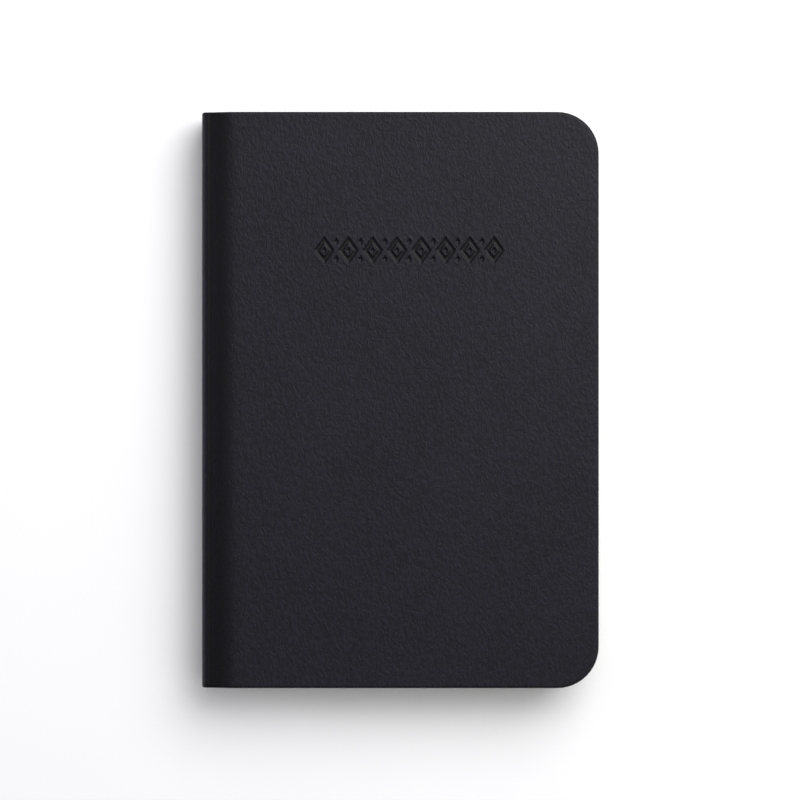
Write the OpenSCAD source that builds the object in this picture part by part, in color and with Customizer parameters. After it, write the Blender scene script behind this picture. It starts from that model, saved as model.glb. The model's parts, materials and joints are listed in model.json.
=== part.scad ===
// Hard-cover pocket notebook, closed, lying on its rear cover.
// X runs from the spine to the fore edge, Y from the tail to the head, Z from the rear cover to the front.
// The origin is the middle of the face that rests on the table.

/* [Covers] */
// Width over the covers, from the spine's outer face to the fore edge
cover_w = 100; // [80:1:140]
// Height of the covers, from tail to head
cover_h = 145; // [110:1:220]
// Radius of the two fore-edge corners of each cover
corner_r = 10.5; // [8:0.5:14]
// Thickness of the grained covering skin
skin_t = 0.6; // [0.5:0.1:0.8]
// Thickness of each greyboard cover board
board_t = 1.3; // [1.2:0.1:1.8]
// Width of the skin that is turned in over a board's inner edges
turn_in_w = 12; // [8:1:14]

/* [Paper] */
// Leaves in one folded section
leaves_per_signature = 16; // [12:4:20]
// Thickness of one leaf
leaf_t = 0.1; // [0.08:0.01:0.12]
// Thickness of the endpapers
endpaper_t = 0.12; // [0.1:0.01:0.14]
// Distance from the pages up to the edges of the covers at the head and tail
square_y = 2.5; // [2:0.5:4]
// Distance from the pages to the edge of the covers at the fore edge
square_x = 3; // [2:0.5:4]

/* [Hinges] */
// Distance from the spine's outer face to the cover's hinge line
hinge_x = 2.5; // [2.4:0.1:2.8]
// Distance from the spine's outer face to the near edge of a board's covering
board_x = 5.4; // [5.4:0.1:6]
// Distance from the spine's outer face to the line where a flyleaf bends
flyleaf_x = 7.2; // [7.2:0.1:8]
// Step from one leaf's bend line to the next one's
leaf_step = 0.6; // [0.5:0.05:0.8]

/* [Ornament] */
// Number of tooled lozenges in the band on the front cover
lozenges = 8; // [4:1:8]
// Distance between the middles of two lozenges
lozenge_pitch = 6.1; // [5.8:0.1:6.4]
// Width of a lozenge
lozenge_w = 5; // [4.4:0.1:5.4]
// Height of a lozenge
lozenge_h = 6.8; // [6.2:0.1:8]
// Depth to which the band is pressed into the skin
tooling_d = 0.3; // [0.1:0.05:0.35]
// Distance from the head of the cover down to the middle of the band
band_drop = 34.9; // [20:0.1:60]

/* [Hidden] */
// Folded sections sewn together, and front leaves that turn on their own: NODES names each of them
signatures = 6;
turning_leaves = 8;
// Straight steps in a quarter turn of a rounded corner
arc_steps = 12;
// Clearance between the closed covers and the pages
cover_gap = 0.05;
// Clearance under each leaf that turns
leaf_gap = 0.02;
// Thickness of the skin pressed down in the hinge groove
groove_t = 0.55;
// Outer radius of the shoulders of the spine
shoulder_r = 1.6;
// Layers of the spine, counted inward from the skin
spine_board_t = 0.8;
spine_paper_t = 0.15;
mull_t = 0.2;
glue_t = 0.3;
spine_board_x = skin_t;
spine_paper_x = spine_board_x + spine_board_t;
mull_x = spine_paper_x + spine_paper_t;
glue_x = mull_x + mull_t;
fold_x = glue_x + glue_t;

page_x = cover_w - square_x;
page_half = cover_h / 2 - square_y;
page_r = corner_r - square_x;
cover_half = cover_h / 2;
cover_t = skin_t + board_t;

leaf_pitch = leaf_t + leaf_gap;
flyleaf_pitch = endpaper_t + leaf_gap;
static_leaves = signatures * leaves_per_signature - turning_leaves;
closed_t = cover_t + endpaper_t + cover_gap;
// Heights of the faces of the pages, from the table up
low_flyleaf_z = closed_t;
low_page_z = low_flyleaf_z + flyleaf_pitch;
high_page_z = low_page_z + static_leaves * leaf_t + turning_leaves * leaf_pitch;
high_flyleaf_z = high_page_z + flyleaf_pitch;
total_h = high_flyleaf_z + closed_t;
section_t = leaves_per_signature * leaf_t;

// Height of the hinge line above the top flyleaf, which is the top of the pressed groove
hinge_rise = cover_gap + groove_t;
hinge_z = high_flyleaf_z + hinge_rise;
shoulder_z = hinge_z - cover_gap;
shoulder_x = hinge_x - cover_gap;
board_edge_x = board_x + skin_t;
// Thickness of the skin turned in under a board, and corner radius of the bare board inside it
turned_in_t = 0.3;
bare_board_r = 1;
// Distance from the pastedown's edge to the cover's edge
pastedown_margin = 3;

// How far the first leaf bends beyond its step, to pass round the thicker flyleaf
first_leaf_x = 0.2;
// How much shorter each spine layer is than the pages, at the head and at the tail
lining_margin = 1;
mull_margin = 6;

// Places of the stitches that cross the folds, as shares of half the pages' height, and their thread
stitch_shares = [-0.88, -0.57, -0.2, 0.2, 0.57, 0.88];
thread_w = 0.3;

// Radius of the end bands' core, and the distance of its middle from the folds
band_r = 0.75;
band_x = 0.55;

// Distance from the middle of the cover to the middle of the tooled band, towards the fore edge
tooling_x = 2.3;
// How far a cutting solid passes beyond the face that it cuts
over = 1;

// Width of a lozenge's pressed line, measured along the band, both sides together
inner_w = 2.5;
// Seeds and pips of the tooled band
pip_w = 1.1;
pip_h = 1.7;
pip_rise = 2.2;

skin_colour = [0.17, 0.165, 0.19];
board_colour = [0.55, 0.53, 0.5];
paper_colour = [0.95, 0.93, 0.86];
endpaper_colour = [0.9, 0.87, 0.78];
kraft_colour = [0.62, 0.5, 0.36];
mull_colour = [0.85, 0.83, 0.76];
glue_colour = [0.88, 0.86, 0.74];
thread_colour = [0.96, 0.96, 0.94];
band_colour = [0.8, 0.78, 0.72];

function arc(x, y, r, from, to) =
    [for (i = [0:arc_steps]) let (a = from + (to - from) * i / arc_steps) [x + r * cos(a), y + r * sin(a)]];

// Outline of a sheet or board: square at the spine, rounded at the fore edge
function sheet(x0, x1, half, r) = concat(
    [[x0, half], [x0, -half]],
    arc(x1 - r, -half + r, r, -90, 0),
    arc(x1 - r, half - r, r, 0, 90)
);

// Where a leaf that turns bends, and the top of its face
function bend_x(leaf) = flyleaf_x + first_leaf_x + leaf * leaf_step;
function leaf_top(leaf) = high_page_z - (leaf - 1) * leaf_pitch;

module from_spine() {
    translate([-cover_w / 2, 0, 0]) children();
}

module flat_sheet(x0, x1, half, r, z, t) {
    from_spine() translate([0, 0, z]) linear_extrude(t) polygon(sheet(x0, x1, half, r));
}

// A section in X and Z, drawn out along Y over both halves
module drawn_out(half) {
    from_spine() translate([0, half, 0]) rotate([90, 0, 0]) linear_extrude(2 * half) children();
}

module block_from_spine(x0, x1, half, z0, z1) {
    from_spine() translate([x0, -half, z0]) cube([x1 - x0, 2 * half, z1 - z0]);
}

// Mirrors a front piece to the rear
module to_rear() {
    translate([0, 0, total_h]) mirror([0, 0, 1]) children();
}

// A cover board, stepped where the skin is turned in under its edges
module board_solid() {
    inner_z = high_flyleaf_z + cover_gap + endpaper_t;
    union() {
        flat_sheet(board_edge_x, cover_w - skin_t, cover_half - skin_t, corner_r - skin_t,
            inner_z + turned_in_t, board_t - turned_in_t);
        flat_sheet(board_edge_x, cover_w - turn_in_w, cover_half - turn_in_w, bare_board_r, inner_z, board_t);
    }
}

// A cover's skin: the wrap round its board, and the thin strip pressed down along the hinge
module skin_solid() {
    strip_z = high_flyleaf_z + cover_gap;
    difference() {
        union() {
            flat_sheet(board_x, cover_w, cover_half, corner_r, strip_z + endpaper_t, cover_t);
            block_from_spine(hinge_x, board_edge_x, cover_half, strip_z, strip_z + groove_t);
        }
        board_solid();
    }
}

module pastedown_solid() {
    flat_sheet(board_edge_x, cover_w - pastedown_margin, cover_half - pastedown_margin,
        corner_r - pastedown_margin, high_flyleaf_z + cover_gap, endpaper_t);
}

module lozenge(w, h) {
    polygon([[w / 2, 0], [0, h / 2], [-w / 2, 0], [0, -h / 2]]);
}

// The blind-tooled band: open lozenges, each with a seed in its middle, and two pips between each pair
module tooled_band() {
    for (i = [0:lozenges - 1]) translate([(i - (lozenges - 1) / 2) * lozenge_pitch, 0]) {
        difference() {
            lozenge(lozenge_w, lozenge_h);
            lozenge(lozenge_w - inner_w, lozenge_h - inner_w * lozenge_h / lozenge_w);
        }
        lozenge(pip_w, pip_h);
    }
    for (i = [1:lozenges - 1], side = [-1, 1])
        translate([(i - lozenges / 2) * lozenge_pitch, side * pip_rise]) lozenge(pip_w, pip_h);
}

module front_cover_skin() {
    color(skin_colour) difference() {
        skin_solid();
        translate([tooling_x, cover_half - band_drop, total_h - tooling_d])
            linear_extrude(tooling_d + over) tooled_band();
    }
}

module front_cover_board() {
    color(board_colour) board_solid();
}

module front_pastedown() {
    color(endpaper_colour) pastedown_solid();
}

module rear_cover_skin() {
    color(skin_colour) to_rear() skin_solid();
}

module rear_cover_board() {
    color(board_colour) to_rear() board_solid();
}

module rear_pastedown() {
    color(endpaper_colour) to_rear() pastedown_solid();
}

// Half of the spine's section, above the middle of the book
function spine_outer() = concat(
    [[shoulder_x, total_h / 2]],
    [[shoulder_x, shoulder_z]],
    arc(shoulder_r, shoulder_z - shoulder_r, shoulder_r, 90, 180),
    [[0, total_h / 2]]
);

function spine_inner() = concat(
    [[shoulder_x + over, total_h / 2 - over], [shoulder_x + over, high_flyleaf_z]],
    arc(shoulder_r, high_flyleaf_z - shoulder_r + skin_t, shoulder_r - skin_t, 90, 180),
    [[skin_t, total_h / 2 - over]]
);

module spine_half() {
    drawn_out(cover_half) difference() {
        polygon(spine_outer());
        polygon(spine_inner());
    }
}

module spine_skin() {
    board_top = shoulder_z - shoulder_r;
    color(skin_colour) union() {
        spine_half();
        to_rear() spine_half();
        for (side = [-1, 1]) from_spine()
            translate([spine_paper_x / 2, side * (cover_half - skin_t / 2), total_h / 2])
                cube([spine_paper_x, skin_t, 2 * board_top - total_h], center = true);
    }
}

module spine_board() {
    board_top = shoulder_z - shoulder_r;
    color(board_colour) block_from_spine(spine_board_x, spine_paper_x, cover_half - skin_t,
        total_h - board_top, board_top);
}

module spine_lining_paper() {
    color(kraft_colour) block_from_spine(spine_paper_x, mull_x, page_half - lining_margin,
        low_flyleaf_z + mull_t, high_flyleaf_z - mull_t);
}

module mull_lining() {
    color(mull_colour) block_from_spine(mull_x, glue_x, page_half - mull_margin,
        low_flyleaf_z + mull_t, high_flyleaf_z - mull_t);
}

// The stitches, drawn out past both faces of the glue by extra
module stitches(extra) {
    for (share = stitch_shares) from_spine()
        translate([glue_x - extra, share * page_half - thread_w / 2, low_page_z + section_t / 2])
            cube([glue_t + 2 * extra, thread_w, high_page_z - low_page_z - section_t]);
}

module spine_glue() {
    color(glue_colour) difference() {
        block_from_spine(glue_x, fold_x, page_half - lining_margin, low_page_z, high_page_z);
        stitches(over);
    }
}

module sewing_thread() {
    color(thread_colour) stitches(0);
}

// A band at the head (side 1) or the tail (side -1) of the sections, cut flat where it meets them
module end_band(side) {
    middle_y = side * (page_half + band_r / 2);
    from_spine() translate([fold_x + band_x, middle_y, low_page_z])
        linear_extrude(high_page_z - low_page_z)
            intersection() {
                circle(r = band_r, $fn = 12);
                translate([-band_r, side > 0 ? -band_r / 2 : -band_r * 3 / 2]) square(2 * band_r);
            }
}

module headband() {
    color(band_colour) end_band(1);
}

module tailband() {
    color(band_colour) end_band(-1);
}

module endpaper_fold_solid() {
    block_from_spine(fold_x, flyleaf_x, page_half, high_page_z, high_flyleaf_z);
}

module flyleaf_solid() {
    flat_sheet(flyleaf_x + leaf_gap, page_x, page_half, page_r, high_page_z + leaf_gap, endpaper_t);
}

module front_endpaper_fold() {
    color(endpaper_colour) endpaper_fold_solid();
}

module rear_endpaper_fold() {
    color(endpaper_colour) to_rear() endpaper_fold_solid();
}

module front_flyleaf() {
    color(endpaper_colour) flyleaf_solid();
}

module rear_flyleaf() {
    color(endpaper_colour) to_rear() flyleaf_solid();
}

// One folded section lying between z0 and z1, with its fold rounded at the spine
module folded_section(z0, z1) {
    r = (z1 - z0) / 2;
    intersection() {
        flat_sheet(fold_x, page_x, page_half, page_r, z0, z1 - z0);
        drawn_out(page_half) polygon(concat(
            [[page_x, z0], [page_x, z1]],
            arc(fold_x + r, z0 + r, r, 90, 270)
        ));
    }
}

// The first section carries the roots of the leaves that turn, each root a step further out
module first_section() {
    z0 = low_page_z + (signatures - 1) * section_t;
    difference() {
        folded_section(z0, high_page_z);
        for (leaf = [1:turning_leaves])
            block_from_spine(bend_x(leaf), cover_w, cover_half,
                leaf_top(leaf) - leaf_pitch, high_page_z + over);
    }
}

module signature(n) {
    z1 = low_page_z + (signatures - n + 1) * section_t;
    color(paper_colour) {
        if (n == 1) first_section();
        if (n > 1) folded_section(z1 - section_t, z1);
    }
}

module leaf(n) {
    color(paper_colour)
        flat_sheet(bend_x(n) + leaf_gap, page_x, page_half, page_r, leaf_top(n) - leaf_t, leaf_t);
}

front_cover_skin();
front_cover_board();
front_pastedown();
rear_cover_skin();
rear_cover_board();
rear_pastedown();
spine_skin();
spine_board();
spine_lining_paper();
mull_lining();
spine_glue();
sewing_thread();
headband();
tailband();
front_endpaper_fold();
front_flyleaf();
rear_endpaper_fold();
rear_flyleaf();
signature(1);  // signature_1
signature(2);  // signature_2
signature(3);  // signature_3
signature(4);  // signature_4
signature(5);  // signature_5
signature(6);  // signature_6
leaf(1);  // leaf_1
leaf(2);  // leaf_2
leaf(3);  // leaf_3
leaf(4);  // leaf_4
leaf(5);  // leaf_5
leaf(6);  // leaf_6
leaf(7);  // leaf_7
leaf(8);  // leaf_8
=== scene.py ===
"""A hard-cover pocket notebook: grained covering, boards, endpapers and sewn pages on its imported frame."""
import json
import math
import random

import bpy
import numpy as np
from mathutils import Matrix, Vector


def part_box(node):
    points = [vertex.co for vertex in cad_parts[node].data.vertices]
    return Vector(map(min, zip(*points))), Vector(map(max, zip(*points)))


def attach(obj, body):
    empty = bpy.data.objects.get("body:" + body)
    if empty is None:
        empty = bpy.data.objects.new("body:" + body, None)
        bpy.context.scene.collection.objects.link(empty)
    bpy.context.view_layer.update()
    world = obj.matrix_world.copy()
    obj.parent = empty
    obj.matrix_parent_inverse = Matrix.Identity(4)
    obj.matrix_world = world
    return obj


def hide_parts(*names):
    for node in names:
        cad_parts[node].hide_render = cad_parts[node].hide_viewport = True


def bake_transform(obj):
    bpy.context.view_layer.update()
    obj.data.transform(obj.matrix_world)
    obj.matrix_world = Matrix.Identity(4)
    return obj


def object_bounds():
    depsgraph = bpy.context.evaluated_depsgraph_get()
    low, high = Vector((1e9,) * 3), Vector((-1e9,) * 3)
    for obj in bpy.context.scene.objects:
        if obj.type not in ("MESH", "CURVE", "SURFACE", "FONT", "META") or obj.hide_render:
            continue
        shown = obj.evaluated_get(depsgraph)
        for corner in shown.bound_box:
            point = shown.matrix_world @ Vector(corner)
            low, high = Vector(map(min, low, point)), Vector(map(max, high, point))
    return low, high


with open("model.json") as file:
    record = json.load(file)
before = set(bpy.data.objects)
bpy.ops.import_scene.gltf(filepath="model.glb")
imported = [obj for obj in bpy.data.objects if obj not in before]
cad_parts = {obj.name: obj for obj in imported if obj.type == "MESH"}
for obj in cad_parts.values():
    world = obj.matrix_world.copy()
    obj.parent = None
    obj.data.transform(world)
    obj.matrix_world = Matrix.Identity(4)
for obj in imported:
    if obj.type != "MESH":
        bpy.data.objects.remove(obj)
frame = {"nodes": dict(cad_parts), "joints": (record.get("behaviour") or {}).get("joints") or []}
CAD_LOW, CAD_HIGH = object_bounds()

# ---------------------------------------------------------------- sizes, in metres

MM = 0.001
# The closed notebook's box in the frame: the spine's outer face is at SPINE_X, the head at HALF_Y
SPINE_X = CAD_LOW.x
FORE_X = CAD_HIGH.x
HALF_Y = CAD_HIGH.y
TOP_Z = CAD_HIGH.z

JOINTS = {j["name"]: j for j in frame["joints"]}
HINGE_Z = JOINTS["front_cover_hinge"]["pos_m"][2]
FOLD_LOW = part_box("front_endpaper_fold")[0]
FLYLEAF_LOW, FLYLEAF_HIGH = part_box("front_flyleaf")
PASTEDOWN_LOW, PASTEDOWN_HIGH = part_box("front_pastedown")
BOARD_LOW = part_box("front_cover_board")[0]

# The rounded corners at the fore edge, and how the pages are made up
CORNER_R = 10.5 * MM
PAGE_CORNER_R = 7.5 * MM
PASTEDOWN_CORNER_R = 7.5 * MM
LEAVES_PER_SECTION = 16
TURNING_LEAVES = 8
SECTIONS = 6

# Where the covering bends when a cover opens, from the spine's outer face
BEND_START_X = SPINE_X + 2.0 * MM
BEND_END_X = SPINE_X + 5.5 * MM


# ---------------------------------------------------------------- node helpers

class Nodes:
    """A material's node tree, with short calls to add nodes and join them."""

    def __init__(self, name):
        self.material = bpy.data.materials.new(name)
        self.material.use_nodes = True
        self.tree = self.material.node_tree
        self.tree.nodes.clear()
        self.output = self.add("ShaderNodeOutputMaterial")
        self.shader = self.add("ShaderNodeBsdfPrincipled")
        self.link(self.shader.outputs["BSDF"], self.output.inputs["Surface"])

    def add(self, kind, **values):
        node = self.tree.nodes.new(kind)
        for key, value in values.items():
            setattr(node, key, value)
        return node

    def link(self, source, target):
        self.tree.links.new(source, target)

    def put(self, value, socket):
        """Joins a source to a socket, or gives the socket a number or a colour of its own."""
        if isinstance(value, bpy.types.NodeSocket):
            self.link(value, socket)
        elif isinstance(value, tuple):
            socket.default_value = (*value, 1)
        else:
            socket.default_value = value

    def mapped(self, vector, scale, turn=0.0):
        """The vector scaled, and then turned by some degrees in its own plane."""
        node = self.add("ShaderNodeMapping")
        node.inputs["Rotation"].default_value = (0, 0, math.radians(turn))
        node.inputs["Scale"].default_value = scale
        self.link(vector, node.inputs["Vector"])
        return node.outputs["Vector"]

    def flat(self, scale=(1, 1, 1), turn=0.0):
        """The surface's own flat coordinates, in millimetres, stretched and turned."""
        attribute = self.add("ShaderNodeAttribute", attribute_name="flat")
        return self.mapped(attribute.outputs["Vector"], [1000 * s for s in scale], turn)

    def place(self, scale=(1, 1, 1)):
        """Object coordinates, in millimetres."""
        coordinates = self.add("ShaderNodeTexCoord")
        return self.mapped(coordinates.outputs["Object"], [1000 * s for s in scale])

    def noise(self, vector, scale, detail=3.0, roughness=0.55, distortion=0.0):
        node = self.add("ShaderNodeTexNoise")
        node.inputs["Scale"].default_value = scale
        node.inputs["Detail"].default_value = detail
        node.inputs["Roughness"].default_value = roughness
        node.inputs["Distortion"].default_value = distortion
        self.link(vector, node.inputs["Vector"])
        return node.outputs["Fac"]

    def noise_vector(self, vector, scale):
        """Soft noise with three parts, to bend coordinates with."""
        node = self.add("ShaderNodeTexNoise")
        node.inputs["Scale"].default_value = scale
        node.inputs["Detail"].default_value = 2.0
        self.link(vector, node.inputs["Vector"])
        return node.outputs["Color"]

    def cells(self, vector, scale, feature="F1"):
        """The distance to the nearest cell's centre, or to the cells' edges."""
        node = self.add("ShaderNodeTexVoronoi", feature=feature)
        node.inputs["Scale"].default_value = scale
        self.link(vector, node.inputs["Vector"])
        return node.outputs["Distance"]

    def math(self, operation, a, b=0.0):
        node = self.add("ShaderNodeMath", operation=operation)
        self.put(a, node.inputs[0])
        self.put(b, node.inputs[1])
        return node.outputs["Value"]

    def ramp(self, value, low, high, to_low=0.0, to_high=1.0):
        """The value's place between low and high, eased at both ends, as a number from to_low to to_high."""
        node = self.add("ShaderNodeMapRange", interpolation_type="SMOOTHSTEP")
        node.inputs["From Min"].default_value = low
        node.inputs["From Max"].default_value = high
        node.inputs["To Min"].default_value = to_low
        node.inputs["To Max"].default_value = to_high
        self.link(value, node.inputs["Value"])
        return node.outputs["Result"]

    def add_vector(self, a, b, share):
        """The first vector plus a share of the second."""
        node = self.add("ShaderNodeVectorMath", operation="MULTIPLY_ADD")
        node.inputs[1].default_value = (share, share, share)
        self.link(b, node.inputs[0])
        self.link(a, node.inputs[2])
        return node.outputs["Vector"]

    def mix(self, factor, a, b):
        """From colour a to colour b. Inputs 6 and 7 and output 2 are the node's colour sockets."""
        node = self.add("ShaderNodeMix", data_type="RGBA")
        self.put(a, node.inputs[6])
        self.put(b, node.inputs[7])
        self.put(factor, node.inputs["Factor"])
        return node.outputs[2]

    def bump(self, height, distance, strength):
        node = self.add("ShaderNodeBump")
        node.inputs["Strength"].default_value = strength
        node.inputs["Distance"].default_value = distance
        self.link(height, node.inputs["Height"])
        return node.outputs["Normal"]

    def feed(self, **values):
        """Joins sources to the shader's inputs of those names, or sets the inputs' own values."""
        for key, value in values.items():
            self.put(value, self.shader.inputs[key.replace("_", " ")])


# ---------------------------------------------------------------- materials

# The covering's colours, as linear light
SKIN_DARK_PATCH = (0.0062, 0.0058, 0.0104)
SKIN_PALE_PATCH = (0.0084, 0.0079, 0.0136)
SKIN_VALLEY = (0.0036, 0.0033, 0.0058)
SKIN_PEAK = (0.0100, 0.0094, 0.0158)
SKIN_SPECK = (0.05, 0.048, 0.060)
# Painted shade: a near-black colour over the spine's shoulder, the hinge groove and the board's near edge,
# and in the tooled recesses along with the tooling's own heat darkening
SKIN_PRESSED_AND_SHADED = (0.0010, 0.0009, 0.0017)

# The grain: how it wanders, its cells' width and height shares, its lean in degrees, and its depth
GRAIN_WANDER = 0.30
GRAIN_WANDER_MM = 2.6
GRAIN_SHAPE = (1.15, 0.52, 1)
GRAIN_LEAN = 7
GRAIN_DEPTH = 0.10 * MM
# How much of the grain is left where the skin is pressed, and how much smoother it is there
PRESSED_GRAIN = 0.35
PRESSED_POLISH = 0.14

# A page's ruling: half the pitch, a line's half width, and the reach of the lines from the page's middle
HALF_RULE_MM = 3.25
RULE_MM = 0.08
RULED_REACH_MM = 63.5
RULE_STRENGTH = 0.55
RULE_COLOUR = (0.36, 0.38, 0.42)

# Half the pitch of the end bands' stripes
HALF_STRIPE_MM = 0.6


def leather_material():
    """Black coated covering: fine upright pebbles and wrinkles, smoother with less grain where it is pressed,
    and darker there with painted shade: over the shoulder, the groove and the board's near edge, and in the
    tooled recesses along with the tooling's own heat darkening.
    """
    n = Nodes("grained_covering")
    flat = n.flat()
    bent = n.add_vector(flat, n.noise_vector(flat, GRAIN_WANDER), GRAIN_WANDER_MM)
    grained = n.mapped(bent, GRAIN_SHAPE, GRAIN_LEAN)
    pebbles = n.ramp(n.cells(grained, 1.05, "DISTANCE_TO_EDGE"), 0.0, 0.34)
    wrinkles = n.ramp(n.noise(grained, 1.2, 2.0, 0.55, 0.4), 0.34, 0.66)
    fine = n.noise(flat, 3.6, 3.0, 0.6)
    height = n.math("ADD", n.math("MULTIPLY", pebbles, 0.45), n.math("MULTIPLY", wrinkles, 0.65))
    height = n.math("ADD", height, n.math("MULTIPLY", fine, 0.16))
    pressed = n.add("ShaderNodeAttribute", attribute_name="pressed").outputs["Fac"]
    height = n.math("MULTIPLY", height, n.ramp(pressed, 0.0, 1.0, 1.0, PRESSED_GRAIN))
    patches = n.mix(n.ramp(n.noise(flat, 0.035, 2.0), 0.3, 0.7), SKIN_DARK_PATCH, SKIN_PALE_PATCH)
    grain = n.mix(n.ramp(height, 0.25, 0.85), SKIN_VALLEY, SKIN_PEAK)
    specks = n.ramp(n.cells(flat, 1.3), 0.06, 0.03)
    speckled = n.mix(n.math("MULTIPLY", specks, 0.25), n.mix(0.5, patches, grain), SKIN_SPECK)
    polish = n.math("MULTIPLY", pressed, PRESSED_POLISH)
    # Painted shade: the base colour goes toward the near-black pressed colour as the pressed share rises
    n.feed(Base_Color=n.mix(n.math("MULTIPLY", pressed, 0.85), speckled, SKIN_PRESSED_AND_SHADED),
           Roughness=n.math("SUBTRACT", n.ramp(fine, 0.3, 0.7, 0.46, 0.60), polish),
           Normal=n.bump(height, GRAIN_DEPTH, 0.62),
           Specular_IOR_Level=0.20)
    return n.material


def paper_material(name, colour, shade, ruled=False):
    """Uncoated paper with soft fibres, and faint ruled lines on a page."""
    n = Nodes(name)
    flat = n.flat()
    paint = n.mix(n.ramp(n.noise(flat, 0.9, 5.0, 0.65), 0.1, 0.9), colour, shade)
    fibres = n.noise(n.flat((1.0, 0.25, 1.0), 25), 3.0, 3.0)
    if ruled:
        split = n.add("ShaderNodeSeparateXYZ")
        n.link(flat, split.inputs["Vector"])
        line = n.ramp(n.math("PINGPONG", split.outputs["Y"], HALF_RULE_MM), 2 * RULE_MM, RULE_MM)
        inside = n.ramp(n.math("ABSOLUTE", split.outputs["Y"]), RULED_REACH_MM, RULED_REACH_MM - 0.1)
        ruling = n.math("MULTIPLY", n.math("MULTIPLY", line, inside), RULE_STRENGTH)
        paint = n.mix(ruling, paint, RULE_COLOUR)
    n.feed(Base_Color=paint, Roughness=n.ramp(fibres, 0.3, 0.7, 0.78, 0.9),
           Normal=n.bump(fibres, 0.02 * MM, 0.5), Specular_IOR_Level=0.25)
    return n.material


def board_material():
    """Greyboard: dull brown-grey with flecks."""
    n = Nodes("greyboard")
    place = n.place()
    fleck = n.ramp(n.cells(place, 1.1), 0.12, 0.02)
    paint = n.mix(n.ramp(n.noise(place, 0.5, 4.0), 0.3, 0.7), (0.20, 0.18, 0.15), (0.29, 0.26, 0.22))
    n.feed(Base_Color=n.mix(n.math("MULTIPLY", fleck, 0.5), paint, (0.08, 0.07, 0.06)), Roughness=0.92,
           Normal=n.bump(n.noise(place, 2.5, 4.0), 0.05 * MM, 0.6), Specular_IOR_Level=0.2)
    return n.material


def woven_material(name, colour, gap_colour, pitch_mm):
    """An open plain weave in the Y and Z directions."""
    n = Nodes(name)
    split = n.add("ShaderNodeSeparateXYZ")
    n.link(n.place(), split.inputs["Vector"])
    rows = n.math("PINGPONG", split.outputs["Y"], pitch_mm / 2)
    columns = n.math("PINGPONG", split.outputs["Z"], pitch_mm / 2)
    height = n.ramp(n.math("MAXIMUM", rows, columns), 0.2 * pitch_mm, 0.48 * pitch_mm)
    fuzz = n.ramp(n.noise(n.place(), 6.0, 3.0), 0.2, 0.6, 0.7, 1.0)
    n.feed(Base_Color=n.mix(n.math("MULTIPLY", height, fuzz), gap_colour, colour), Roughness=0.88,
           Normal=n.bump(height, 0.12 * MM, 0.8), Specular_IOR_Level=0.2)
    return n.material


def striped_material():
    """The end bands: ribs of cream and grey thread."""
    n = Nodes("end_band_thread")
    split = n.add("ShaderNodeSeparateXYZ")
    n.link(n.place(), split.inputs["Vector"])
    stripe = n.ramp(n.math("PINGPONG", split.outputs["Z"], HALF_STRIPE_MM), 0.27, 0.33)
    twist = n.noise(n.place((2, 2, 6)), 2.0, 2.0)
    n.feed(Base_Color=n.mix(stripe, (0.55, 0.52, 0.45), (0.05, 0.048, 0.055)), Roughness=0.75,
           Normal=n.bump(twist, 0.05 * MM, 0.7), Specular_IOR_Level=0.3)
    return n.material


def simple_material(name, low, high, scale, roughness, bump_mm):
    """A dull surface with mottled colour, for the glue, the lining paper and the thread."""
    n = Nodes(name)
    noise = n.noise(n.place(), scale, 4.0)
    n.feed(Base_Color=n.mix(n.ramp(noise, 0.3, 0.7), low, high),
           Roughness=n.ramp(noise, 0.3, 0.7, roughness - 0.06, roughness + 0.06),
           Normal=n.bump(noise, bump_mm * MM, 0.7))
    return n.material


def floor_material():
    """Pale matt paper sweep."""
    n = Nodes("floor_paper")
    mottle = n.noise(n.place(), 0.02, 2.0)
    n.feed(Base_Color=n.mix(mottle, (0.94, 0.94, 0.945), (0.955, 0.955, 0.96)), Roughness=0.95,
           Specular_IOR_Level=0.1)
    return n.material


# ---------------------------------------------------------------- mesh helpers

def smooth(t):
    """Eases from 0 to 1 as t goes from 0 to 1."""
    t = np.clip(t, 0.0, 1.0)
    return t * t * (3 - 2 * t)


def make_piece(name, points, faces, material, flat=None, smooth_shading=True, pressed=None):
    """A piece from points and faces, with the flat coordinates and the shares of pressing and painted shade
    that its material reads.
    """
    mesh = bpy.data.meshes.new(name)
    mesh.from_pydata([tuple(map(float, p)) for p in points], [], faces)
    mesh.validate()
    if flat is not None:
        attribute = mesh.attributes.new("flat", "FLOAT_VECTOR", "POINT")
        attribute.data.foreach_set("vector", np.asarray(flat, np.float32).ravel())
    if pressed is not None:
        attribute = mesh.attributes.new("pressed", "FLOAT", "POINT")
        attribute.data.foreach_set("value", np.asarray(pressed, np.float32))
    mesh.polygons.foreach_set("use_smooth", [smooth_shading] * len(mesh.polygons))
    mesh.materials.append(material)
    piece = bpy.data.objects.new(name, mesh)
    bpy.context.scene.collection.objects.link(piece)
    return piece


def apply_modifiers(piece):
    """Makes what the modifiers show the piece's own mesh."""
    bpy.context.view_layer.update()
    graph = bpy.context.evaluated_depsgraph_get()
    mesh = bpy.data.meshes.new_from_object(piece.evaluated_get(graph))
    piece.modifiers.clear()
    piece.data = mesh


def grid_faces(rows, columns):
    """Four-sided faces over a grid of points that is stored row by row."""
    faces = []
    for j in range(rows - 1):
        for i in range(columns - 1):
            a = j * columns + i
            faces.append((a, a + 1, a + columns + 1, a + columns))
    return faces


def turned_over(points, faces):
    """The same mesh on the rear: turned over in Z, with its faces turned round."""
    return [(x, y, TOP_Z - z) for x, y, z in points], [f[::-1] for f in faces]


def row_positions(half, radius, straight):
    """Rows from the tail to the head: evenly turned through the corners, and at the given places between."""
    centre = half - radius
    turns = np.linspace(90, 0, 13)
    arc = centre + radius * np.sin(np.radians(turns))
    middle = [y for y in straight if abs(y) < centre - 0.5 * MM]
    return np.array([-y for y in arc] + sorted(middle) + list(arc[::-1]))


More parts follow.
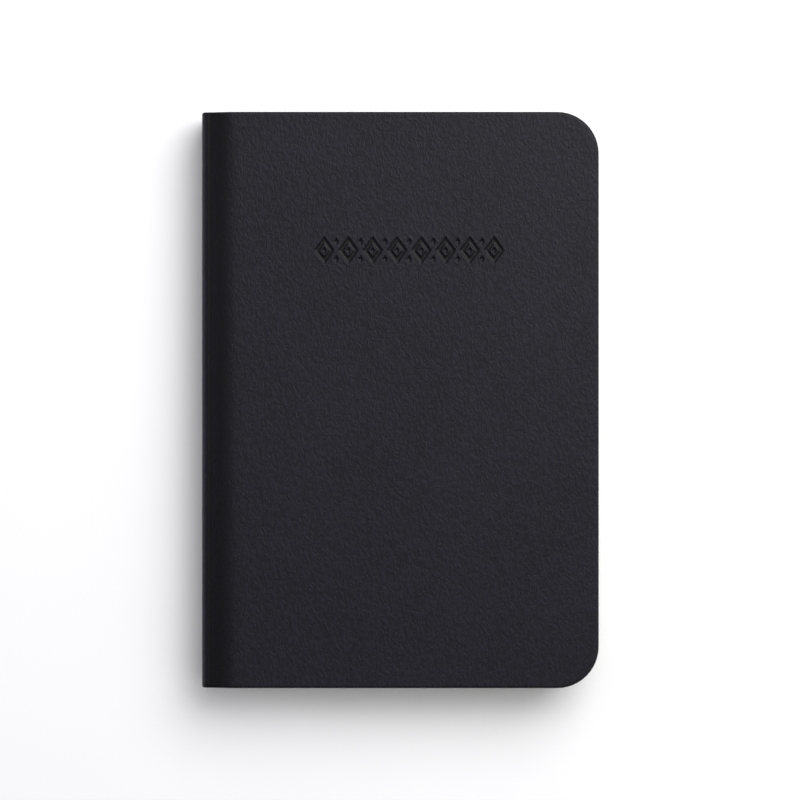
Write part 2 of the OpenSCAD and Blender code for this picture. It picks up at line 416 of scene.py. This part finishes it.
def fore_edge(y, half, radius, edge_x):
    """Where the rounded outline ends at each height."""
    over = np.clip(np.abs(y) - (half - radius), 0, radius)
    return edge_x - radius + np.sqrt(np.maximum(radius * radius - over * over, 0))


def squeezed(x, start, end, full_end):
    """Column places with those beyond start closed up, so that a row stops at its end on the outline."""
    return np.where(x > start, start + (x - start) * (end - start) / (full_end - start), x)


def outline_loop(rows, columns):
    """Indices round a grid: along the head from its first column, down the fore edge, back along the tail."""
    head = [(rows - 1) * columns + i for i in range(columns)]
    fore = [j * columns + columns - 1 for j in range(rows - 2, -1, -1)]
    tail = list(range(columns - 2, -1, -1))
    return head + fore + tail


def fine_range(low, high, step):
    """Even steps from low that reach high."""
    return list(np.arange(low, high + step / 2, step))


# ---------------------------------------------------------------- the tooled band

# The middle of the band, its lozenges, the pressed line's width, and the pips between them
BAND_CENTRE_X = SPINE_X + 52.3 * MM
BAND_CENTRE_Y = HALF_Y - 34.9 * MM
BAND_COUNT = 8
BAND_PITCH = 6.1 * MM
LOZENGE_W = 5.0 * MM
LOZENGE_H = 6.8 * MM
BAND_STROKE = 1.0 * MM
PIP_W = 1.1 * MM
PIP_H = 1.7 * MM
PIP_RISE = 2.2 * MM
# How deep the band is pressed, how wide its slope is, and the low lip that it raises
BAND_DEPTH = 0.34 * MM
BAND_SLOPE = 0.40 * MM
LIP_PLACE = 0.30 * MM
LIP_WIDTH = 0.17 * MM
LIP_RISE = 0.07 * MM
# How far the fine mesh reaches from the middle of the band, its gap to the coarse mesh, and its step
BAND_REACH_X = 24.6 * MM
BAND_REACH_Y = 4.0 * MM
COARSE_GAP_X = 0.5 * MM
COARSE_GAP_Y = 0.4 * MM
FINE_STEP = 0.2 * MM


def lozenge_distance(x, y, width, height):
    """Distance to a lozenge's edge, below zero inside."""
    a, b = width / 2, height / 2
    return (np.abs(x) / a + np.abs(y) / b - 1) * a * b / math.hypot(a, b)


def band_pressure(x, y):
    """How far each point is pressed in, from 0 to 1, and how near it is to the pressed edge's raised lip. The
    depth also sets the painted shade in the recess.
    """
    px, py = x - BAND_CENTRE_X, y - BAND_CENTRE_Y
    half_run = (BAND_COUNT - 1) / 2 * BAND_PITCH
    nearest = np.clip(np.round((px + half_run) / BAND_PITCH), 0, BAND_COUNT - 1)
    lx = px - (nearest * BAND_PITCH - half_run)
    outer = lozenge_distance(lx, py, LOZENGE_W, LOZENGE_H)
    seed = lozenge_distance(lx, py, PIP_W, PIP_H)
    between = np.clip(np.round((px + half_run) / BAND_PITCH - 0.5), 0, BAND_COUNT - 2) + 0.5
    pip = lozenge_distance(px - (between * BAND_PITCH - half_run), np.abs(py) - PIP_RISE, PIP_W, PIP_H)
    ring = np.maximum(outer, -outer - BAND_STROKE)
    shape = np.minimum(np.minimum(ring, seed), pip)
    pressed = 1 - smooth((shape + BAND_SLOPE * 0.5) / BAND_SLOPE)
    lip = np.exp(-((shape - LIP_PLACE) / LIP_WIDTH) ** 2)
    return pressed, lip


# ---------------------------------------------------------------- the covering

# Radii of the board's rounded outer edge, its turned-in inner edge and the spine's shoulders
EDGE_R = 0.75 * MM
INNER_EDGE_R = 0.35 * MM
SHOULDER_R = 1.7 * MM
# The groove's floor, where it ends, where the board's flat face begins, and how soon the skin rises between
GROOVE_Z = HINGE_Z - 0.08 * MM
GROOVE_END = SPINE_X + 2.2 * MM
FACE_START = SPINE_X + 8.6 * MM
FACE_RISE = 0.6
# Where the skin is pressed and darkened with painted shade, from the spine's outer face: it begins, is full,
# begins to fade and has faded, past the start of the board's flat face
PRESS_SHADE_START = SPINE_X + 0.5 * MM
PRESS_SHADE_FULL = SPINE_X + 1.8 * MM
PRESS_SHADE_FADE = SPINE_X + 2.4 * MM
PRESS_SHADE_END = SPINE_X + 12.0 * MM
# The inside of the covers, the depth there from the groove, the shell's thickness and the turn-in's length
INNER_Z = BOARD_LOW.z
SPINE_DEPTH = GROOVE_Z - INNER_Z
SHEET_T = 0.15 * MM
TURN_IN = 8 * MM
# Points round a shoulder, and across the spine between the shoulders
SHOULDER_STEPS = 11
SPINE_STEPS = 12
# Beyond this place the columns close up, so that each row ends on the rounded outline
SQUEEZE_X = SPINE_X + 80 * MM


def covering_section(face_columns, with_spine):
    """The covering's outline, with or without the spine, to the fore edge: points, inward ways, depths."""
    points, inward, depth = [], [], []
    start = SPINE_X + SHOULDER_R
    quarter = np.linspace(90, 0, SHOULDER_STEPS)
    low_z, high_z = TOP_Z - GROOVE_Z + SHOULDER_R, GROOVE_Z - SHOULDER_R
    turns = [(180 + turn, low_z) for turn in quarter]
    turns += [(180, z) for z in np.linspace(low_z, high_z, SPINE_STEPS)[1:-1]]
    turns += [(90 + turn, high_z) for turn in quarter]
    if not with_spine:
        turns = turns[-1:]
    for turn, centre_z in turns:
        c, s = math.cos(math.radians(turn)), math.sin(math.radians(turn))
        points.append((start + SHOULDER_R * c, centre_z + SHOULDER_R * s))
        inward.append((-c, -s))
        depth.append(SPINE_DEPTH)
    for x in fine_range(start + 0.15 * MM, FACE_START, FINE_STEP) + list(face_columns):
        rise = np.clip((x - GROOVE_END) / (FACE_START - GROOVE_END), 0, 1)
        z = GROOVE_Z + (TOP_Z - GROOVE_Z) * smooth(rise ** FACE_RISE)
        points.append((x, z))
        inward.append((0, -1))
        depth.append(z - INNER_Z)
    return np.array(points), np.array(inward, float), np.array(depth)


def rim_profile(depth):
    """From a face's edge round to the inside of the board: pairs of (outward, inward depth)."""
    rise = min(EDGE_R, depth / 2)
    low = min(INNER_EDGE_R, depth / 3)
    out = []
    for turn in range(15, 91, 15):
        a = math.radians(turn)
        out.append((EDGE_R * math.sin(a), rise * (1 - math.cos(a))))
    for turn in (0, 30, 60, 90):
        a = math.radians(turn)
        out.append((EDGE_R - INNER_EDGE_R * (1 - math.cos(a)), depth - low * (1 - math.sin(a))))
    for share in (0.15, 0.5, 1.0):
        out.append((EDGE_R - INNER_EDGE_R - share * TURN_IN, depth))
    return out


def closer(places, middle, reach, gap):
    """The places, with close ones instead of them within reach of the middle."""
    fine = fine_range(middle - reach, middle + reach, FINE_STEP)
    return fine + [place for place in places if place < fine[0] - gap or place > fine[-1] + gap]


def face_places(tooled, last_x):
    """Columns over the flat face and rows along the covering, close together round the tooled band."""
    columns = list(np.linspace(FACE_START + 0.5 * MM, last_x, 46))
    rows = list(np.linspace(-HALF_Y, HALF_Y, 60))
    if tooled:
        columns = closer(columns, BAND_CENTRE_X, BAND_REACH_X, COARSE_GAP_X)
        rows = closer(rows, BAND_CENTRE_Y, BAND_REACH_Y, COARSE_GAP_Y)
    return sorted(columns), rows


def covering_mesh(tooled):
    """A cover's groove and face, turned in round its board. The tooled front one carries the spine too."""
    last_x = FORE_X - EDGE_R
    face, straight = face_places(tooled, last_x)
    section, inward, depth = covering_section(face, with_spine=tooled)
    half, radius = HALF_Y - EDGE_R, CORNER_R - EDGE_R
    rows = row_positions(half, radius, straight)
    columns = len(section)
    run = np.concatenate([[0], np.cumsum(np.hypot(*np.diff(section, axis=0).T))])
    ends = fore_edge(rows, half, radius, last_x)
    groove = groove_press_and_shade(section[:, 0])
    points, flat, pressed = [], [], []
    for y, end in zip(rows, ends):
        x = squeezed(section[:, 0], SQUEEZE_X, end, last_x)
        z = section[:, 1].copy()
        # The groove's share paints shade over the shoulder, the groove and up the board's near edge
        share = groove.copy()
        if tooled:
            tooling, lip = band_pressure(x, y)
            z -= BAND_DEPTH * tooling - LIP_RISE * lip
            # The tooled recesses are darkened too: painted shade, along with the tooling's own heat darkening
            share = np.maximum(share, tooling ** 2)
        pressed += list(share)
        s = run + (x - section[:, 0])
        points += list(zip(x, np.full(columns, y), z))
        flat += list(zip(s, np.full(columns, y), np.zeros(columns)))
    faces = grid_faces(len(rows), columns)
    loop = outline_loop(len(rows), columns)
    normals = loop_normals(points, loop, half, radius, last_x)
    add_rim(points, faces, flat, pressed, loop, normals, inward, depth)
    return points, faces, flat, pressed


def add_rim(points, faces, flat, pressed, loop, normals, inward, depth):
    """Carries the face's edge round the board's edge and in under it, one ring of points after another."""
    columns = len(depth)
    previous = loop
    profiles = [rim_profile(depth[k % columns]) for k in loop]
    travelled = np.zeros(len(loop))
    for step in range(len(profiles[0])):
        ring = []
        for place, k in enumerate(loop):
            out, down = profiles[place][step]
            last = profiles[place][step - 1] if step else (0.0, 0.0)
            travelled[place] += math.hypot(out - last[0], down - last[1])
            way = inward[k % columns]
            nx, ny = normals[place]
            px, py, pz = points[k]
            ring.append(len(points))
            points.append((px + nx * out + way[0] * down, py + ny * out, pz + way[1] * down))
            fs, fy, _ = flat[k]
            flat.append((fs + nx * travelled[place], fy + ny * travelled[place], 0))
            pressed.append(pressed[k])
        for a in range(len(loop) - 1):
            faces.append((previous[a], previous[a + 1], ring[a + 1], ring[a]))
        previous = ring


def groove_press_and_shade(x):
    """The covering is pressed into the groove, and less and less up the board's near edge: this share paints
    shade there, darkening the skin, and it also flattens and smooths the grain.
    """
    rise = smooth((x - PRESS_SHADE_START) / (PRESS_SHADE_FULL - PRESS_SHADE_START))
    fall = 1 - smooth((x - PRESS_SHADE_FADE) / (PRESS_SHADE_END - PRESS_SHADE_FADE))
    return rise * fall


def loop_normals(points, loop, half, radius, last_x):
    """The way out of the outline, in X and Y, at each point of a grid's loop."""
    normals = []
    for k in loop:
        x, y, _ = points[k]
        dx, dy = x - (last_x - radius), abs(y) - (half - radius)
        if dy > 1e-9 and dx > 1e-9:
            length = math.hypot(dx, dy)
            normals.append((dx / length, math.copysign(dy / length, y)))
        elif dy >= radius - 1e-7:
            normals.append((0.0, math.copysign(1.0, y)))
        else:
            normals.append((1.0, 0.0))
    return normals


def make_covering(name, material, rear):
    """A cover's skin as a closed thin shell. Only the front one is tooled."""
    points, faces, flat, pressed = covering_mesh(tooled=not rear)
    if rear:
        points, faces = turned_over(points, faces)
        # Seen from outside, the rear's grain then leans as the front's does
        flat = [(-s, y, z) for s, y, z in flat]
    piece = make_piece(name, points, faces, material, flat, pressed=pressed)
    shell = piece.modifiers.new("thickness", "SOLIDIFY")
    shell.thickness = SHEET_T
    shell.offset = -1
    shell.use_rim = True
    apply_modifiers(piece)
    return piece


# ---------------------------------------------------------------- sheets of paper

def sheet_mesh(columns_x, half, radius, fore_x, top_z, thickness):
    """A closed thin sheet with rounded fore-edge corners, its top face at top_z."""
    rows = row_positions(half, radius, np.linspace(-half, half, 30))
    columns = len(columns_x)
    points = []
    for z in (top_z, top_z - thickness):
        for y in rows:
            end = fore_edge(np.array([y]), half, radius, fore_x)[0]
            points += [(x, y, z) for x in squeezed(np.array(columns_x), fore_x - 2 * radius, end, fore_x)]
    count = len(rows) * columns
    faces = grid_faces(len(rows), columns)
    faces += [tuple(k + count for k in f[::-1]) for f in faces]
    loop = outline_loop(len(rows), columns)
    loop += [j * columns for j in range(1, len(rows) - 1)]
    for a, b in zip(loop, loop[1:] + loop[:1]):
        faces.append((a, a + count, b + count, b))
    return points, faces


def make_sheet(name, material, columns_x, half, radius, fore_x, top_z, thickness, rear=False):
    """A sheet for the front or the rear, smooth on its faces and crisp along its sides."""
    points, faces = sheet_mesh(columns_x, half, radius, fore_x, top_z, thickness)
    flat = points
    if rear:
        points, faces = turned_over(points, faces)
    piece = make_piece(name, points, faces, material, flat)
    for polygon in piece.data.polygons:
        polygon.use_smooth = abs(polygon.normal.z) > 0.5
    return piece


def bent_columns(start, bend_start, bend_end, end):
    """Column places along X: close together where the sheet bends, further apart beyond."""
    columns = []
    if bend_start > start:
        columns += list(np.linspace(start, bend_start, 5)[:-1])
    columns += list(np.linspace(bend_start, bend_end, 22))
    columns += list(np.linspace(bend_end, end, 22)[1:])
    return columns


# How far a leaf bends before it is straight, and the pages' outline
PAPER_BEND = 11 * MM
PAGE_FORE_X = FLYLEAF_HIGH.x
PAGE_HALF_Y = FLYLEAF_HIGH.y


def make_pastedown(name, material, rear):
    """The endpaper glued inside a cover, with its columns close together over the cover's joint."""
    columns = bent_columns(BEND_START_X + 0.1 * MM, BEND_START_X + 0.2 * MM, BEND_END_X, PASTEDOWN_HIGH.x)
    piece = make_sheet(name, material, columns, PASTEDOWN_HIGH.y, PASTEDOWN_CORNER_R, PASTEDOWN_HIGH.x,
                       PASTEDOWN_HIGH.z, PASTEDOWN_HIGH.z - PASTEDOWN_LOW.z, rear)
    side = "rear" if rear else "front"
    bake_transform(piece)
    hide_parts(side + "_pastedown")
    return piece


def make_flyleaf(name, material, rear):
    """The free half of an endpaper, with the fold it turns from."""
    side = "rear" if rear else "front"
    bend_x = JOINTS[side + "_flyleaf_turn"]["pos_m"][0]
    columns = bent_columns(FOLD_LOW.x + 0.05 * MM, bend_x, bend_x + PAPER_BEND, PAGE_FORE_X)
    piece = make_sheet(name, material, columns, PAGE_HALF_Y, PAGE_CORNER_R, PAGE_FORE_X, FLYLEAF_HIGH.z,
                       FLYLEAF_HIGH.z - FLYLEAF_LOW.z, rear)
    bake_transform(piece)
    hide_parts(side + "_flyleaf", side + "_endpaper_fold")
    return piece


def make_turning_leaf(number, material):
    """One of the ruled pages at the front, in place of a leaf of the frame, with close columns up to where
    that leaf bends.
    """
    node = f"leaf_{number}"
    low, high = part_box(node)
    bend_x = JOINTS[node + "_turn"]["pos_m"][0]
    columns = bent_columns(low.x, low.x, bend_x + PAPER_BEND, high.x)
    piece = make_sheet(f"page_{number}", material, columns, PAGE_HALF_Y, PAGE_CORNER_R, high.x, high.z,
                       high.z - low.z)
    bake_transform(piece)
    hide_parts(node)
    return piece


# ---------------------------------------------------------------- the sewn sections

# How uneven the leaves' edges are, how far each is rounded in at its faces, and where that rounding ends
LEAF_UNEVEN = 0.10 * MM
LEAF_ROUNDING = 0.05 * MM
ROUNDED_SHARE = 0.18
# Clearances: between two sheets, from the fold's outline, and from the fold to a turning leaf's root
SHEET_GAP = 0.01 * MM
FOLD_GAP = 0.02 * MM
ROOT_GAP = 0.3 * MM
# Points along each straight side of a page
SIDE_POINTS = 9


def corner(centre_x, centre_y, radius, first_turn):
    """A quarter of a circle, anticlockwise from the given turn in degrees."""
    turns = np.radians(np.linspace(first_turn, first_turn + 90, 11))
    return [(centre_x + radius * math.cos(a), centre_y + radius * math.sin(a)) for a in turns]


def page_outline(inset, fold_inset):
    """Points round a page, from the head of the fold anticlockwise, set in by the given amounts."""
    half, fore = PAGE_HALF_Y - inset, PAGE_FORE_X - inset
    radius = PAGE_CORNER_R - inset
    fold = FOLD_LOW.x + fold_inset
    points = [(fold, y) for y in np.linspace(half, -half, SIDE_POINTS)]
    points += [(x, -half) for x in np.linspace(fold, fore - radius, SIDE_POINTS)[1:-1]]
    points += corner(fore - radius, -half + radius, radius, -90)
    points += [(fore, y) for y in np.linspace(-half + radius, half - radius, SIDE_POINTS)[1:-1]]
    points += corner(fore - radius, half - radius, radius, 0)
    points += [(x, half) for x in np.linspace(fore - radius, fold, SIDE_POINTS)[1:-1]]
    return points


def make_section(number, edge_material, page_material, dice):
    """One folded section: every leaf's edge is a ridge of its own, a little in or out of line."""
    low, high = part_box(f"signature_{number}")
    leaves = LEAVES_PER_SECTION if number > 1 else LEAVES_PER_SECTION - TURNING_LEAVES
    top = high.z if number > 1 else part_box(f"leaf_{TURNING_LEAVES}")[0].z - SHEET_GAP
    pitch = (top - low.z) / leaves
    fold_r = (high.z - low.z) / 2
    ridge = ((0, LEAF_ROUNDING), (ROUNDED_SHARE, 0), (1 - ROUNDED_SHARE, 0), (1, LEAF_ROUNDING))
    rings, points, faces = [], [], []
    for leaf in range(leaves):
        inset = dice.uniform(0.0, LEAF_UNEVEN)
        for share, extra in ridge:
            z = low.z + (leaf + share) * pitch
            lean = abs(z - low.z - fold_r) / fold_r
            fold_inset = fold_r * (1 - math.sqrt(max(0.0, 1 - min(1.0, lean) ** 2))) + FOLD_GAP
            ring = page_outline(inset + extra, fold_inset)
            rings.append([len(points) + k for k in range(len(ring))])
            points += [(x, y, z) for x, y in ring]
    for lower, upper in zip(rings, rings[1:]):
        count = len(lower)
        for k in range(count):
            m = (k + 1) % count
            faces.append((lower[k], lower[m], upper[m], upper[k]))
    faces.append(tuple(rings[0][::-1]))
    faces.append(tuple(rings[-1]))
    if number == 1:
        add_leaf_roots(points, faces, top)
    piece = make_piece(f"section_{number}", points, faces, edge_material, points, smooth_shading=False)
    # The two large faces are pages, and the rest are the leaves' edges
    piece.data.materials.append(page_material)
    for polygon in piece.data.polygons:
        polygon.material_index = 1 if abs(polygon.normal.z) > 0.9 and polygon.area > 100 * MM * MM else 0
    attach(piece, "text_block")
    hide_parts(f"signature_{number}")
    return piece


def add_leaf_roots(points, faces, bottom):
    """The glued-in roots of the turning leaves, each a thin slab that stops where its leaf bends."""
    for number in range(TURNING_LEAVES, 0, -1):
        low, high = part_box(f"leaf_{number}")
        x0, x1 = FOLD_LOW.x + ROOT_GAP, low.x
        z0, z1 = (bottom if number == TURNING_LEAVES else low.z - SHEET_GAP), high.z
        a = len(points)
        corners = ((x0, -PAGE_HALF_Y), (x1, -PAGE_HALF_Y), (x1, PAGE_HALF_Y), (x0, PAGE_HALF_Y))
        points += [(x, y, z) for z in (z0, z1) for x, y in corners]
        faces += [(a + 3, a + 2, a + 1, a), (a + 4, a + 5, a + 6, a + 7)]
        faces += [(a + k, a + (k + 1) % 4, a + 4 + (k + 1) % 4, a + 4 + k) for k in range(4)]


# ---------------------------------------------------------------- end bands

# A rib's height, the core's radius along X, and how far a rib stands out
RIB_PITCH = 0.3 * MM
CORE_R = 0.60 * MM
RIB_RISE = 0.13 * MM
# The band's radius along Y as a share of that along X, and how far its middle is beyond the pages' end
BAND_SQUASH = 0.8
BAND_OFFSET = 0.25 * MM


def make_end_band(node, material):
    """A ribbed band of thread over a core, along the spine's end of the pages."""
    low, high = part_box(node)
    side = 1 if low.y > 0 else -1
    centre_x = (low.x + high.x) / 2
    centre_y = side * (PAGE_HALF_Y + BAND_OFFSET)
    ribs = int((high.z - low.z) / RIB_PITCH)
    sides, steps = 14, 6
    points, faces = [], []
    for step in range(ribs * steps + 1):
        z = low.z + (high.z - low.z) * step / (ribs * steps)
        swell = abs(math.sin(math.pi * step / steps)) ** 0.7
        radius = CORE_R + RIB_RISE * swell
        for k in range(sides):
            a = 2 * math.pi * k / sides
            y = centre_y + BAND_SQUASH * radius * math.sin(a)
            points.append((centre_x + radius * math.cos(a), y, z))
    for step in range(ribs * steps):
        a, b = step * sides, (step + 1) * sides
        for k in range(sides):
            m = (k + 1) % sides
            faces.append((a + k, a + m, b + m, b + k))
    faces.append(tuple(range(sides))[::-1])
    faces.append(tuple(ribs * steps * sides + k for k in range(sides)))
    piece = make_piece(node + "_thread", points, faces, material)
    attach(piece, "text_block")
    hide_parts(node)
    return piece


# ---------------------------------------------------------------- building the notebook

def paint(node, material):
    """Gives a CAD node that is kept a better material."""
    slots = frame["nodes"][node].data.materials
    slots.clear()
    slots.append(material)


def build():
    """Every finer piece, and better materials on the CAD nodes that stay."""
    leather = leather_material()
    endpaper = paper_material("endpaper_stock", (0.76, 0.73, 0.63), (0.72, 0.685, 0.58))
    page = paper_material("ruled_page", (0.83, 0.805, 0.72), (0.80, 0.77, 0.68), ruled=True)
    edges = paper_material("page_edges", (0.80, 0.765, 0.655), (0.70, 0.66, 0.55))
    board = board_material()
    for side in ("front", "rear"):
        rear = side == "rear"
        covering = make_covering(side + "_covering", leather, rear)
        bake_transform(covering)
        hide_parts(side + "_cover_skin", *(["spine_skin"] if not rear else []))
        make_pastedown(side + "_lining_sheet", endpaper, rear)
        make_flyleaf(side + "_endleaf", endpaper, rear)
        paint(side + "_cover_board", board)
    for number in range(1, TURNING_LEAVES + 1):
        make_turning_leaf(number, page)
    dice = random.Random(7)
    for number in range(1, SECTIONS + 1):
        make_section(number, edges, page, dice)
    bands = striped_material()
    make_end_band("headband", bands)
    make_end_band("tailband", bands)
    paint("spine_board", board)
    kraft = simple_material("kraft_paper", (0.30, 0.20, 0.11), (0.40, 0.28, 0.16), 1.5, 0.85, 0.03)
    paint("spine_lining_paper", kraft)
    paint("mull_lining", woven_material("gauze", (0.68, 0.65, 0.56), (0.30, 0.28, 0.22), 0.9))
    glue = simple_material("glue_film", (0.66, 0.63, 0.47), (0.78, 0.75, 0.60), 0.8, 0.4, 0.05)
    paint("spine_glue", glue)
    thread = simple_material("waxed_thread", (0.80, 0.79, 0.74), (0.88, 0.87, 0.82), 6.0, 0.6, 0.03)
    paint("sewing_thread", thread)


# ---------------------------------------------------------------- floor, light and camera

# The width that the camera sees at the top of the notebook
FRAME_WIDTH = 201 * MM
LENS_MM = 100
SENSOR_MM = 36


def add_floor():
    """The surface that the notebook rests on."""
    reach = 3.0
    corners = [(-reach, -reach, 0), (reach, -reach, 0), (reach, reach, 0), (-reach, reach, 0)]
    mesh = bpy.data.meshes.new("floor")
    mesh.from_pydata(corners, [], [(0, 1, 2, 3)])
    mesh.materials.append(floor_material())
    floor = bpy.data.objects.new("floor", mesh)
    bpy.context.scene.collection.objects.link(floor)


def add_light(name, place, size, watts, colour):
    """A square lamp that faces the middle of the notebook's footprint."""
    light = bpy.data.lights.new(name, "AREA")
    light.shape = "SQUARE"
    light.size = size
    light.energy = watts
    light.color = colour
    lamp = bpy.data.objects.new(name, light)
    lamp.location = place
    lamp.rotation_mode = "QUATERNION"
    lamp.rotation_quaternion = (-Vector(place)).to_track_quat("-Z", "Y")
    bpy.context.scene.collection.objects.link(lamp)


# The way to the sky's brightest place, and its strength where it is dimmest and brightest
SKY_WAY = (0.50, 0.62, 0.60)
SKY_DIM = 0.12
SKY_BRIGHT = 0.86


def add_sky():
    """A soft sky that is brightest above the head and the fore edge, and dim on the spine's side."""
    world = bpy.data.worlds.new("studio")
    world.use_nodes = True
    tree = world.node_tree
    background = tree.nodes["Background"]
    background.inputs["Color"].default_value = (1.0, 1.0, 1.0, 1)
    coordinates = tree.nodes.new("ShaderNodeTexCoord")
    toward = tree.nodes.new("ShaderNodeVectorMath")
    toward.operation = "DOT_PRODUCT"
    toward.inputs[1].default_value = Vector(SKY_WAY).normalized()
    level = tree.nodes.new("ShaderNodeMapRange")
    level.interpolation_type = "SMOOTHSTEP"
    level.inputs["From Min"].default_value = -0.25
    level.inputs["From Max"].default_value = 1.0
    level.inputs["To Min"].default_value = SKY_DIM
    level.inputs["To Max"].default_value = SKY_BRIGHT
    tree.links.new(coordinates.outputs["Generated"], toward.inputs[0])
    tree.links.new(toward.outputs["Value"], level.inputs["Value"])
    tree.links.new(level.outputs["Result"], background.inputs["Strength"])
    bpy.context.scene.world = world


def add_studio():
    """The sky, a key lamp past the head and fore edge, and a low bluish one on the spine's side."""
    add_sky()
    add_light("key", place=(0.26, 0.34, 0.50), size=0.55, watts=4.1, colour=(1.0, 1.0, 1.0))
    add_light("fill", place=(-1.0, 0.05, 0.22), size=0.5, watts=2.9, colour=(0.82, 0.78, 1.0))


def add_camera():
    """Straight above the notebook, with its head at the top of the picture."""
    camera = bpy.data.cameras.new("camera")
    camera.lens = LENS_MM
    camera.sensor_width = SENSOR_MM
    eye = bpy.data.objects.new("camera", camera)
    distance = FRAME_WIDTH * LENS_MM / SENSOR_MM
    eye.location = (0, 0, TOP_Z + distance)
    bpy.context.scene.collection.objects.link(eye)
    bpy.context.scene.camera = eye


add_camera()
add_floor()
add_studio()
bpy.context.scene.view_settings.view_transform = "Standard"
build()
